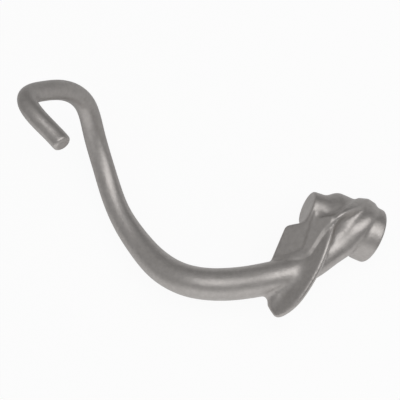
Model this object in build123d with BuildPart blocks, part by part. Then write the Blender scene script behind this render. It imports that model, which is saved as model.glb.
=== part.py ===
"""Dough hook of a stand mixer: one casting with a drive hub, a shield blade and a spiral arm."""

import os
from math import cos, radians, sin, sqrt, tan

from build123d import *

# All sizes are in millimetres and degrees.
# The casting is drawn with its drive axis on Z, the foot of the hub at Z = 0 and the mouth of
# the drive socket on top. Angles run round the drive axis from X towards Y.

# Drive hub
hub_length = 35.0
foot_diameter = 16.8
foot_height = 4.5
neck_diameter = 17.5
barrel_diameter = 25.0
barrel_start = 13.0
rim_diameter = 26.6
rim_height = 5.0
foot_edge_radius = 0.8
rim_edge_radius = 1.0

# Drive socket with its bayonet slot
bore_diameter = 13.0
bore_depth = 25.0
bore_lead_in = 0.8
slot_width = 5.4
slot_depth = 14.0
slot_angle = 212.0
slot_turn = 30.0

# Shield blade, a leaf pitched like a propeller blade, whose leading side is bent up a little
# along a fold line
blade_thickness = 3.2
blade_pitch = 45.0
blade_level = -6.4
blade_reach = 51.4
blade_chord = 25.5
blade_inner_edge = 11.4
blade_overlap = 1.5
blade_corner_radius = 3.0
blade_edge_radius = 1.2
fold_start = 22.8
fold_slant = 20.0
fold_angle = 10.0
fold_radius = 6.0

# Flight that carries the blade up over the front and top of the hub. Each row is the angle
# round the hub, then the stand-off from the barrel and the drop below the rim of the land's
# lower and upper corner and of the two corners of the slope behind it
flight_root_depth = 4.5
flight_root_drop = 2.0
flight_stations = [
    (-55, (-1.0, 6.2), (-0.1, 3.6), (-0.2, 2.2), (-0.9, 1.4)),
    (-20, (0.9, 11.0), (2.5, 6.8), (2.1, 3.6), (-0.3, 1.0)),
    (0, (1.4, 13.6), (2.9, 9.0), (2.3, 5.0), (-0.5, 1.2)),
    (50, (1.5, 20.2), (2.6, 16.6), (0.3, 12.6), (-0.9, 7.0)),
    (93, (3.0, 25.4), (3.4, 24.6), (0.1, 21.4), (-0.7, 15.0)),
    (110, (2.3, 25.1), (2.8, 24.5), (0.4, 21.6), (0.1, 16.0)),
    (128, (6.9, 24.4), (7.6, 23.8), (3.5, 20.8), (2.1, 16.6)),
]

# Spiral arm: its tail lies round the hub and its far end is the tip. On the hub each row is the
# angle, the stand-off from the barrel and the drop below the rim; beyond it the angle, the
# radius and the height. The last number is the diameter there
tail_stations = [
    (-15, -3.1, 3.2, 5.0),
    (20, -2.9, 5.8, 8.4),
    (60, -3.9, 9.4, 11.4),
    (100, -4.5, 12.5, 13.0),
    (137, -2.1, 14.7, 13.2),
    (154, 2.7, 18.4, 13.2),
]
arm_stations = [
    (166, 25.6, 9.2, 13.6),
    (174, 35.3, -2.2, 15.0),
    (183, 46.4, -18.8, 15.2),
    (189, 53.3, -35.6, 14.9),
    (199, 55.5, -49.2, 14.2),
    (211, 54.8, -61.9, 12.7),
    (225, 52.0, -76.2, 11.2),
    (244, 46.9, -90.5, 10.8),
    (261, 40.5, -102.0, 10.6),
    (278, 33.3, -111.5, 10.2),
    (287, 22.0, -121.7, 9.6),
    (280, 8.1, -131.2, 9.0),
    (153, 4.5, -135.7, 8.8),
    (132, 12.2, -132.7, 8.6),
    (132, 18.7, -124.1, 8.4),
    (133, 24.5, -114.6, 8.2),
]
tip_edge_radius = 0.8

# Turn that lays the casting down, about X, then Y, then Z
lying_rotation = (133.9, 62.9, -27.8)

foot_radius = foot_diameter / 2
neck_radius = neck_diameter / 2
barrel_radius = barrel_diameter / 2
rim_radius = rim_diameter / 2
bore_radius = bore_diameter / 2


def on_hub(angle, radius, height):
    return Vector(radius * cos(radians(angle)), radius * sin(radians(angle)), height)


def with_halves(values):
    filled = values[:1]
    for before, after in zip(values, values[1:]):
        filled += [(before + after) / 2, after]
    return filled


with BuildPart() as hub:
    # Hub body, turned about the drive axis
    with BuildSketch(Plane.XZ):
        with BuildLine():
            Polyline((0, hub_length), (0, 0), (foot_radius - foot_edge_radius, 0))
            Spline(
                (foot_radius - foot_edge_radius, 0),
                (foot_radius, foot_edge_radius),
                tangents=[(1, 0), (0, 1)],
            )
            Line((foot_radius, foot_edge_radius), (neck_radius, foot_height))
            Spline(
                (neck_radius, foot_height),
                (barrel_radius, barrel_start),
                tangents=[(0, 1), (0, 1)],
            )
            Line((barrel_radius, barrel_start), (barrel_radius, hub_length - 2 * rim_height))
            Spline(
                (barrel_radius, hub_length - 2 * rim_height),
                (rim_radius, hub_length - rim_height),
                tangents=[(0, 1), (0, 1)],
            )
            Line((rim_radius, hub_length - rim_height), (rim_radius, hub_length - rim_edge_radius))
            Spline(
                (rim_radius, hub_length - rim_edge_radius),
                (rim_radius - rim_edge_radius, hub_length),
                tangents=[(0, 1), (-1, 0)],
            )
            Line((rim_radius - rim_edge_radius, hub_length), (0, hub_length))
        make_face()
    revolve(axis=Axis.Z)

# The blade is a bent leaf, drawn longer than needed along its fold and cut to the outline
blade_plane = Plane(
    origin=(0, 0, blade_level),
    x_dir=(0, cos(radians(blade_pitch)), sin(radians(blade_pitch))),
    z_dir=(0, -sin(radians(blade_pitch)), cos(radians(blade_pitch))),
)
fold_along = blade_plane.y_dir * cos(radians(fold_slant)) - blade_plane.x_dir * sin(radians(fold_slant))
fold_across = blade_plane.x_dir * cos(radians(fold_slant)) + blade_plane.y_dir * sin(radians(fold_slant))
fold_plane = Plane(
    origin=blade_plane.origin + blade_plane.x_dir * fold_start,
    x_dir=fold_across,
    z_dir=fold_along,
)
with BuildPart() as blade:
    bent_rise = blade_chord * tan(radians(fold_angle))
    bent_back = blade_thickness / cos(radians(fold_angle))
    back_fold = blade_thickness * tan(radians(fold_angle / 2))
    with BuildSketch(fold_plane):
        with BuildLine():
            Polyline(
                (-2 * blade_reach, 0),
                (0, 0),
                (blade_chord, bent_rise),
                (blade_chord, bent_rise - bent_back),
                (back_fold, -blade_thickness),
                (-2 * blade_reach, -blade_thickness),
                close=True,
            )
        make_face()
        front_fold = vertices().sort_by_distance((0, 0))[0]
        fillet(front_fold, fold_radius)
    extrude(amount=2 * blade_reach, both=True)
    with BuildSketch(blade_plane):
        root_x = -blade_level / sin(radians(blade_pitch))
        root_y = sqrt(neck_radius**2 - blade_level**2)
        trailing_end = (0, 0.6 * blade_reach)
        leading_end = (0.84 * blade_chord, -blade_overlap)
        with BuildLine():
            Polyline((root_x, root_y), (0, blade_inner_edge), trailing_end)
            Spline(
                trailing_end,
                (0.24 * blade_chord, 0.82 * blade_reach),
                (0.41 * blade_chord, 0.962 * blade_reach),
                (0.56 * blade_chord, blade_reach),
                (0.71 * blade_chord, 0.95 * blade_reach),
                (0.97 * blade_chord, 0.625 * blade_reach),
                (blade_chord, 0.36 * blade_reach),
                (0.91 * blade_chord, 0.107 * blade_reach),
                leading_end,
            )
            Spline(leading_end, (0.65 * blade_chord, 0.4 * blade_overlap), (root_x, root_y))
        make_face()
        outer_corner = vertices().sort_by_distance((0, blade_inner_edge))[0]
        fillet(outer_corner, blade_corner_radius)
    extrude(amount=blade_chord, both=True, mode=Mode.INTERSECT)
    outline_edges = edges().filter_by(Axis((0, 0, 0), fold_along), reverse=True)
    outline_edges = outline_edges.filter_by(Axis((0, 0, 0), blade_plane.z_dir), reverse=True)
    fillet(outline_edges, blade_edge_radius)

with BuildPart() as arm:
    tail_points = [
        on_hub(angle, barrel_radius + stand_off, hub_length - drop)
        for angle, stand_off, drop, size in tail_stations
    ]
    centre_points = tail_points + [
        on_hub(angle, radius, height) for angle, radius, height, size in arm_stations
    ]
    with BuildLine() as arm_path:
        arm_line = Spline(*centre_points)
    places = with_halves([arm_line.param_at_point(point) for point in centre_points])
    sizes = with_halves([station[-1] for station in tail_stations + arm_stations])
    # Each section takes its sideways direction from the one before, so the loft doesn't twist
    across = Vector(0, 0, 1)
    for place, size in zip(places, sizes):
        along = arm_line % place
        across = (across - along * across.dot(along)).normalized()
        with BuildSketch(Plane(origin=arm_line @ place, x_dir=across, z_dir=along)):
            with BuildLine():
                for quarter in range(4):
                    CenterArc((0, 0), size / 2, 90 * quarter + 25, 90)
            make_face()
    loft()
    tip_radius = sizes[-1] / 2
    with Locations(Plane(origin=centre_points[-1], z_dir=arm_line % 1)):
        Cone(
            tip_radius,
            tip_radius - tip_edge_radius,
            tip_edge_radius,
            align=(Align.CENTER, Align.CENTER, Align.MIN),
        )

with BuildPart() as flight:
    for angle, *corners in flight_stations:
        radial = Plane(origin=(0, 0, 0), x_dir=on_hub(angle, 1, 0), z_dir=on_hub(angle - 90, 1, 0))
        outer = [(barrel_radius + stand_off, hub_length - drop) for stand_off, drop in corners]
        root = barrel_radius - flight_root_depth
        with BuildSketch(radial):
            with BuildLine():
                Polyline((root, outer[-1][1]), (root, outer[0][1] - flight_root_drop), *outer, close=True)
            make_face()
    loft()

with BuildPart() as hook:
    add(hub.part)
    add(blade.part)
    add(arm.part)
    add(flight.part)
    # Drive socket, blind, with a lead-in at its mouth
    bore_floor = hub_length - bore_depth
    with BuildSketch(Plane.XZ):
        Polygon(
            (0, hub_length),
            (0, bore_floor),
            (bore_radius, bore_floor),
            (bore_radius, hub_length - bore_lead_in),
            (bore_radius + bore_lead_in, hub_length),
            align=None,
        )
    revolve(axis=Axis.Z, mode=Mode.SUBTRACT)
    # Bayonet slot for the drive pin: in from the rim, then round the hub
    slot_floor = hub_length - slot_depth
    for angle in (slot_angle, slot_angle + slot_turn):
        entry = Plane(x_dir=on_hub(angle + 90, 1, 0), z_dir=on_hub(angle, 1, 0), origin=(0, 0, 0))
        with BuildSketch(entry):
            with Locations((0, slot_floor)):
                Circle(slot_width / 2)
            if angle == slot_angle:
                with Locations((0, slot_floor)):
                    Rectangle(slot_width, slot_depth, align=(Align.CENTER, Align.MIN))
        extrude(amount=rim_radius + 1, mode=Mode.SUBTRACT)
    run = Plane(x_dir=on_hub(slot_angle, 1, 0), z_dir=on_hub(slot_angle - 90, 1, 0), origin=(0, 0, 0))
    with BuildSketch(run):
        with Locations((0, slot_floor)):
            Rectangle(rim_radius + 1, slot_width, align=(Align.MIN, Align.CENTER))
    revolve(axis=Axis.Z, revolution_arc=slot_turn, mode=Mode.SUBTRACT)

# The casting laid down on its side, as it comes to rest on a table
with BuildPart() as laid:
    add(hook.part, rotation=lying_rotation)
footprint = laid.part.bounding_box()
to_origin = Plane((-footprint.center().X, -footprint.center().Y, -footprint.min.Z))
with BuildPart(to_origin) as dough_hook:
    add(laid.part)

os.makedirs("parts", exist_ok=True)
dough_hook.part.label = "dough_hook"
export_step(dough_hook.part, "parts/dough_hook.step")
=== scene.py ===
from math import radians

import bmesh
import bpy
import numpy as np
from mathutils import Euler, Matrix, Vector


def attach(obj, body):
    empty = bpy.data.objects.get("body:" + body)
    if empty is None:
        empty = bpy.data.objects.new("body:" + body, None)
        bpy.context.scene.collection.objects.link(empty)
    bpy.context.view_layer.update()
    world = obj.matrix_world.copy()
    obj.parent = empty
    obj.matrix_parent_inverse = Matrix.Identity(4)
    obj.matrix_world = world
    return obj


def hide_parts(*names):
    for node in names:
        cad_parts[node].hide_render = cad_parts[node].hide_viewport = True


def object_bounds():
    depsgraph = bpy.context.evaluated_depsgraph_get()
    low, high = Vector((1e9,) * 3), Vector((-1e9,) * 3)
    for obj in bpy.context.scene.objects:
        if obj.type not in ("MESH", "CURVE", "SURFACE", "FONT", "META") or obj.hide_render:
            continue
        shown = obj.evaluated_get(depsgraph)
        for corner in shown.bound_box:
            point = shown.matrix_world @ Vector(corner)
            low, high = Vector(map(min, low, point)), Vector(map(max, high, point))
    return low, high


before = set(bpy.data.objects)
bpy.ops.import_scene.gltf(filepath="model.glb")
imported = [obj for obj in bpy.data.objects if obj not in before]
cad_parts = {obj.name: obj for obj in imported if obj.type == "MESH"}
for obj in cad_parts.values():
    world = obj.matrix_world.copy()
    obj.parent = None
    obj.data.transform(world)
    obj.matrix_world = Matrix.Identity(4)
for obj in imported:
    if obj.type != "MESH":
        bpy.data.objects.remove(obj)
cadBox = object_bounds()
scene = bpy.context.scene
scene.view_settings.view_transform = "Standard"
mm = 0.001
print("frame loaded", [round(side / mm, 1) for side in cadBox[1] - cadBox[0]], "mm")


def toLinear(hexColour):
    channels = [int(hexColour[i:i + 2], 16) / 255 for i in (1, 3, 5)]
    return tuple(c / 12.92 if c <= 0.04045 else ((c + 0.055) / 1.055) ** 2.4 for c in channels) + (1.0,)


def addNode(tree, kind, settings={}, links={}):
    node = tree.nodes.new(kind)
    for name, value in settings.items():
        if name in node.inputs:
            node.inputs[name].default_value = value
        else:
            setattr(node, name, value)
    for name, source in links.items():
        tree.links.new(source, node.inputs[name])
    return node


def newMaterial(name):
    material = bpy.data.materials.new(name)
    material.use_nodes = True
    material.node_tree.nodes.clear()
    return material, material.node_tree


# The casting: the CAD hook with the rounds that a mould leaves in its inside corners. A zone is its
# middle in the frame and its reach, both in millimetres, and its share of the effect
casting = {
    "voxel": 0.53 * mm,  # keeps the mesh under 200,000 triangles
    "cornerRadius": 1.0 * mm,
    "blendRadius": 4.0 * mm,  # of the wider rounds in the blends
    "edgePasses": 3,  # smoothing all over
    "blends": [
        ((42, -34, 28), 12, 1.0),  # end of the arm on the front of the blade
        ((38, -27, 27), 12, 0.7),  # upper side of the arm along the panel
        ((46, -7, 29), 10, 1.0),  # root of the blade on the hub
    ],
    "evened": [
        ((57, -21, 30), 12, 1.0),  # groove behind the leading edge
        ((33, -43, 24), 8, 0.9),  # ramp on the lobe
        ((28, -44, 20), 5, 0.7),  # corner where the lobe leaves the arm
    ],
    "evenPasses": 25,  # smoothing in the zones of both lists
}
# Blade's own axes in the frame, with the plane of its front face as the ground
bladeAxes = {
    "origin": (39.037, -1.574, 25.486),
    "chord": (0.77971, -0.45428, 0.43091),
    "reach": (-0.40297, -0.89080, -0.20997),
    "front": (-0.47924, 0.00992, 0.87763),
}
# Ramp of metal that carries the arm's underside out onto the blade's lobe: pairs of points under
# the arm and at the ramp's outer edge, as chord, reach and height above the front face
lobeRamp = {
    "underArm": [
        (4.0, 39.5, 1.2), (6.5, 37.5, 2.4), (9.0, 36.0, 2.8), (10.2, 35.8, 2.2), (11.8, 34.8, 0.2),
    ],
    "outerEdge": [
        (5.7, 44.3, 0.0), (7.9, 48.5, 0.1), (11.2, 50.3, 0.7), (13.8, 48.0, 0.8), (15.0, 42.5, 0.2),
    ],
    "thickness": 2.6,
}


def onBlade(chord, reach, height):
    axes = [Vector(bladeAxes[name]) for name in ("origin", "chord", "reach", "front")]
    return (axes[0] + chord * axes[1] + reach * axes[2] + height * axes[3]) * mm


def addRamp(mesh, settings):
    shape = bmesh.new()
    shape.from_mesh(mesh)
    rows = []
    deep = settings["thickness"]
    for line, depth in (("underArm", 0), ("outerEdge", 0), ("outerEdge", deep), ("underArm", deep)):
        rows.append([shape.verts.new(onBlade(x, y, z - depth)) for x, y, z in settings[line]])
    for near, far in zip(rows[-1:] + rows, rows):
        for i in range(len(near) - 1):
            shape.faces.new((near[i], near[i + 1], far[i + 1], far[i]))
    shape.faces.new([row[0] for row in rows])
    shape.faces.new([row[-1] for row in rows][::-1])
    shape.to_mesh(mesh)
    shape.free()


def bake(body):
    depsgraph = bpy.context.evaluated_depsgraph_get()
    finished = bpy.data.meshes.new_from_object(body.evaluated_get(depsgraph))
    body.modifiers.clear()
    body.data = finished


def closedCopy(node, settings, radius, name):
    body = bpy.data.objects.new(name, node.data.copy())
    scene.collection.objects.link(body)
    addRamp(body.data, lobeRamp)
    # Growing the surface and shrinking it again fills the inside corners with a round
    steps = [("REMESH", 0), ("DISPLACE", radius), ("REMESH", 0), ("DISPLACE", -radius),
             ("SMOOTH", settings["edgePasses"])]
    for kind, amount in steps:
        step = body.modifiers.new(kind.lower(), kind)
        if kind == "REMESH":
            step.mode = "VOXEL"
            step.voxel_size = settings["voxel"]
        elif kind == "DISPLACE":
            step.mid_level = 0
            step.strength = amount
        else:
            step.iterations = amount
    bake(body)
    return body


def zoneGroup(body, zones, name):
    # Weights that fade smoothly from the middle of each zone to its reach
    group = body.vertex_groups.new(name=name)
    for vertex in body.data.vertices:
        weight = 0.0
        for middle, reach, share in zones:
            near = max(0.0, 1 - (vertex.co - Vector(middle) * mm).length / (reach * mm))
            weight = max(weight, share * near * near * (3 - 2 * near))
        if weight > 0:
            group.add([vertex.index], weight, "REPLACE")
    return group


def castBody(node, settings):
    body = closedCopy(node, settings, settings["cornerRadius"], "cast_hook")
    wide = closedCopy(node, settings, settings["blendRadius"], "wide_blends")
    blend = zoneGroup(body, settings["blends"], "blend")
    evened = zoneGroup(body, settings["blends"] + settings["evened"], "evened")
    flow = body.modifiers.new("flow", "SHRINKWRAP")
    flow.target = wide
    flow.vertex_group = blend.name
    even = body.modifiers.new("even", "SMOOTH")
    even.vertex_group = evened.name
    even.iterations = settings["evenPasses"]
    bake(body)
    bpy.data.objects.remove(wide)
    body.vertex_groups.clear()
    return body


hook = castBody(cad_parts["dough_hook"], casting)
print("casting", len(hook.data.vertices), "vertices", len(hook.data.polygons), "faces")

# Relief on the front of the blade, in millimetres along its chord and reach: a raised facet beside
# the trailing panel, its crest that runs down from the hub and turns along the arm, and the dip
# behind the crest. The pairs at the end are where a fade starts and where it is complete
bladeFront = {
    "panelBorder": [
        (11.4, -4.0), (11.9, 6.5), (12.4, 9.8), (12.8, 13.1), (13.2, 17.4),
        (11.7, 20.0), (7.3, 23.7), (2.6, 27.0), (-4.0, 31.5),
    ],
    "borderSoftness": 0.7,
    "facetHeight": 0.55,
    "crest": [
        (23.0, -1.0), (21.2, 2.2), (19.2, 5.8), (17.9, 11.2), (17.2, 15.4),
        (16.4, 18.4), (13.9, 21.3), (7.9, 25.1), (1.6, 28.6),
    ],
    "crestFall": 2.0,
    "dipDepth": 0.5,
    "dipRun": (2.0, 8.0),
    "dipEnd": (18.0, 24.0),
    "facingFront": (0.6, 0.9),
    "offFace": (1.6, 2.6),
    "rootFade": (-3.0, 1.0),
    "outerFade": (29.0, 33.0),
}


def fade(value, start, end):
    share = np.clip((value - start) / (end - start), 0, 1)
    return share * share * (3 - 2 * share)


def sideOf(points, line):
    # Distance to a line of points, positive on the left of its run
    best = np.full(len(points), np.inf)
    signed = np.zeros(len(points))
    for start, end in zip(np.array(line[:-1]), np.array(line[1:])):
        run = end - start
        share = np.clip((points - start) @ run / (run @ run), 0, 1)
        offset = points - start - share[:, None] * run
        distance = np.hypot(offset[:, 0], offset[:, 1])
        side = np.sign(run[0] * offset[:, 1] - run[1] * offset[:, 0])
        closer = distance < best
        best = np.where(closer, distance, best)
        signed = np.where(closer, distance * side, signed)
    return signed


def bladeRelief(body, settings):
    count = len(body.data.vertices)
    places = np.empty(count * 3)
    facing = np.empty(count * 3)
    body.data.vertices.foreach_get("co", places)
    body.data.vertices.foreach_get("normal", facing)
    places = places.reshape(-1, 3) / mm
    facing = facing.reshape(-1, 3)
    local = places - bladeAxes["origin"]
    front = np.array(bladeAxes["front"])
    reach = local @ bladeAxes["reach"]
    flat = np.stack([local @ bladeAxes["chord"], reach], 1)
    onFace = fade(facing @ front, *settings["facingFront"])
    onFace = onFace * (1 - fade(np.abs(local @ front), *settings["offFace"]))
    onFace = onFace * fade(reach, *settings["rootFade"]) * (1 - fade(reach, *settings["outerFade"]))
    inPanel = sideOf(flat, settings["panelBorder"])
    pastCrest = -sideOf(flat, settings["crest"])
    soft = settings["borderSoftness"]
    facet = (1 - fade(inPanel, -soft, soft)) * (1 - fade(pastCrest, 0, settings["crestFall"]))
    dip = fade(pastCrest, 0, settings["dipRun"][0]) * (1 - fade(pastCrest, *settings["dipRun"]))
    dip = dip * (1 - fade(reach, *settings["dipEnd"]))
    lift = onFace * (settings["facetHeight"] * facet - settings["dipDepth"] * dip)
    places = (places + lift[:, None] * front) * mm
    body.data.vertices.foreach_set("co", places.ravel())
    body.data.update()
    print("blade relief from", round(lift.min(), 2), "to", round(lift.max(), 2), "mm")


bladeRelief(hook, bladeFront)
hook.data.shade_smooth()
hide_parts("dough_hook")
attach(hook, "root")

# Cast aluminium, tumbled to a burnished satin: a warm grey with soft wide highlights, mottled and
# clouded where the tumbling media rubbed more or less
burnish = {
    "rubbedColour": "#b8b4b1",
    "dullColour": "#aaa6a3",
    "mottle": 2.2 * mm,  # width of the rubbed patches
    "mottleRange": (0.3, 0.7),  # noise levels that are all dull and all rubbed
    "roughness": 0.44,
    "roughnessSpread": 0.10,
    "cloud": 9 * mm,  # width of the clouds of rougher metal
    "grain": 1.3 * mm,  # the cast grain is finer, and drawn this coarse so that it shows
    "grainHeight": 0.07 * mm,
}


def burnishedAluminium(settings):
    material, tree = newMaterial("burnished_cast_aluminium")
    place = addNode(tree, "ShaderNodeTexCoord").outputs["Object"]
    cloud = addNode(tree, "ShaderNodeTexNoise", {
        "Scale": 1 / settings["cloud"], "Detail": 3.0}, {"Vector": place})
    rough = addNode(tree, "ShaderNodeMapRange", {
        "To Min": settings["roughness"] - settings["roughnessSpread"],
        "To Max": settings["roughness"] + settings["roughnessSpread"]}, {"Value": cloud.outputs["Fac"]})
    mottle = addNode(tree, "ShaderNodeTexNoise", {
        "Scale": 1 / settings["mottle"], "Detail": 4.0, "Roughness": 0.65}, {"Vector": place})
    share = addNode(tree, "ShaderNodeMapRange", {
        "From Min": settings["mottleRange"][0], "From Max": settings["mottleRange"][1]},
        {"Value": mottle.outputs["Fac"]})
    tint = addNode(tree, "ShaderNodeMixRGB", {
        "Color1": toLinear(settings["dullColour"]), "Color2": toLinear(settings["rubbedColour"])},
        {"Fac": share.outputs["Result"]})
    grain = addNode(tree, "ShaderNodeTexNoise", {
        "Scale": 1 / settings["grain"], "Detail": 2.0}, {"Vector": place})
    bump = addNode(tree, "ShaderNodeBump", {
        "Distance": settings["grainHeight"]}, {"Height": grain.outputs["Fac"]})
    metal = addNode(tree, "ShaderNodeBsdfPrincipled", {"Metallic": 1.0}, {
        "Base Color": tint.outputs["Color"], "Roughness": rough.outputs["Result"],
        "Normal": bump.outputs["Normal"]})
    addNode(tree, "ShaderNodeOutputMaterial", {}, {"Surface": metal.outputs["BSDF"]})
    return material


hook.data.materials.clear()
hook.data.materials.append(burnishedAluminium(burnish))
print("material", hook.data.materials[0].name)

# Matt white paper floor: an even white that keeps a faint shadow. In the metal's reflections the paper
# glows with painted light, a painted pool of light that is strongest in front of the hook
floorSheet = {
    "side": 12.0,
    "colour": "#e6e6e6",
    "glowSeen": 0.93,  # share of pure white where the camera sees the paper
    "paintedGlowInReflections": 0.8,  # share of painted glow where the metal reflects the paper
    "paintedGlowRun": (0.04, -0.06),  # Y where the painted glow in the metal starts and where it is full
}


def studioFloor(settings):
    half = settings["side"] / 2
    corners = [(-half, -half, 0), (half, -half, 0), (half, half, 0), (-half, half, 0)]
    mesh = bpy.data.meshes.new("studio_floor")
    mesh.from_pydata(corners, [], [(0, 1, 2, 3)])
    floor = bpy.data.objects.new("studio_floor", mesh)
    scene.collection.objects.link(floor)
    material, tree = newMaterial("white_paper_floor")
    path = addNode(tree, "ShaderNodeLightPath").outputs
    reflected = addNode(tree, "ShaderNodeMath", {"operation": "MAXIMUM"}, {
        0: path["Is Glossy Ray"], 1: path["Is Transmission Ray"]})
    place = addNode(tree, "ShaderNodeTexCoord")
    sides = addNode(tree, "ShaderNodeSeparateXYZ", {}, {"Vector": place.outputs["Object"]})
    # Painted pool of light: the paper glows in the metal's reflections, fading in towards the front of
    # the hook
    front = addNode(tree, "ShaderNodeMapRange", {
        "From Min": settings["paintedGlowRun"][0], "From Max": settings["paintedGlowRun"][1],
        "To Max": settings["paintedGlowInReflections"]}, {"Value": sides.outputs["Y"]})
    paintedReflection = addNode(tree, "ShaderNodeMath", {"operation": "MULTIPLY"}, {
        0: reflected.outputs[0], 1: front.outputs["Result"]})
    glow = addNode(tree, "ShaderNodeMath", {"operation": "MULTIPLY_ADD"}, {
        0: path["Is Camera Ray"], 2: paintedReflection.outputs[0]})
    glow.inputs[1].default_value = settings["glowSeen"]
    paper = addNode(tree, "ShaderNodeBsdfDiffuse", {"Color": toLinear(settings["colour"])})
    white = addNode(tree, "ShaderNodeEmission", {"Strength": 1.0})
    mixed = addNode(tree, "ShaderNodeMixShader", {}, {
        "Fac": glow.outputs[0], 1: paper.outputs[0], 2: white.outputs[0]})
    addNode(tree, "ShaderNodeOutputMaterial", {}, {"Surface": mixed.outputs[0]})
    mesh.materials.append(material)
    return floor


studioFloor(floorSheet)
print("floor", floorSheet["side"], "m wide")

# Studio surroundings: paler on the left than on the right, and darker towards the horizon
surroundings = {
    "colour": "#ffffff",
    "left": 0.53,
    "right": 0.28,
    "horizon": 0.60,  # share of the light that is left at the horizon
    "fullHeight": 0.55,  # sine of the elevation from which all of it is there
}


def studioWorld(settings):
    world = bpy.data.worlds.new("studio")
    world.use_nodes = True
    tree = world.node_tree
    tree.nodes.clear()
    place = addNode(tree, "ShaderNodeTexCoord")
    sides = addNode(tree, "ShaderNodeSeparateXYZ", {}, {"Vector": place.outputs["Generated"]})
    grey = addNode(tree, "ShaderNodeMapRange", {
        "From Min": -1.0, "From Max": 1.0,
        "To Min": settings["left"], "To Max": settings["right"]}, {"Value": sides.outputs["X"]})
    height = addNode(tree, "ShaderNodeMapRange", {
        "From Min": 0.0, "From Max": settings["fullHeight"], "To Min": settings["horizon"]},
        {"Value": sides.outputs["Z"]})
    level = addNode(tree, "ShaderNodeMath", {"operation": "MULTIPLY"}, {
        0: grey.outputs["Result"], 1: height.outputs["Result"]})
    walls = addNode(tree, "ShaderNodeBackground", {
        "Color": toLinear(settings["colour"])}, {"Strength": level.outputs[0]})
    addNode(tree, "ShaderNodeOutputWorld", {}, {"Surface": walls.outputs[0]})
    scene.world = world


studioWorld(surroundings)
print("surroundings", scene.world.name)

# Soft boxes, in metres and watts, aimed at the middle of the hook
hookMiddle = (cadBox[0] + cadBox[1]) / 2
softBoxes = {
    "overhead_soft_box": {"place": (0.26, 0.01, 0.62), "size": (1.00, 0.46), "power": 2.35},
    "front_panel": {"place": (-0.15, -0.80, 0.20), "size": (1.30, 0.50), "power": 1.5},
}


def softBox(name, settings):
    lamp = bpy.data.lights.new(name, "AREA")
    lamp.shape = "RECTANGLE"
    lamp.size, lamp.size_y = settings["size"]
    lamp.energy = settings["power"]
    box = bpy.data.objects.new(name, lamp)
    box.location = settings["place"]
    back = (box.location - hookMiddle).normalized()
    right = (Vector((1, 0, 0)) - back.x * back).normalized()
    box.rotation_euler = Matrix([right, back.cross(right), back]).transposed().to_euler()
    scene.collection.objects.link(box)


for name, settings in softBoxes.items():
    softBox(name, settings)
print("studio lit with", len(softBoxes), "soft boxes")

# Camera, almost straight above the lying hook: place in metres, turn in degrees
shot = {
    "place": (0.01734, -0.10130, 0.41358),
    "turn": (14.65, 3.256, 0.0),
    "lens": 77.58,
    "sensor": 36.0,
    "nearest": 0.01,
}


def photoCamera(settings):
    lens = bpy.data.cameras.new("photo_camera")
    lens.lens = settings["lens"]
    lens.sensor_width = settings["sensor"]
    lens.clip_start = settings["nearest"]
    camera = bpy.data.objects.new("photo_camera", lens)
    turn = Euler([radians(angle) for angle in settings["turn"]])
    camera.matrix_world = Matrix.LocRotScale(Vector(settings["place"]), turn, None)
    scene.collection.objects.link(camera)
    scene.camera = camera


photoCamera(shot)
print("camera", scene.camera.name)
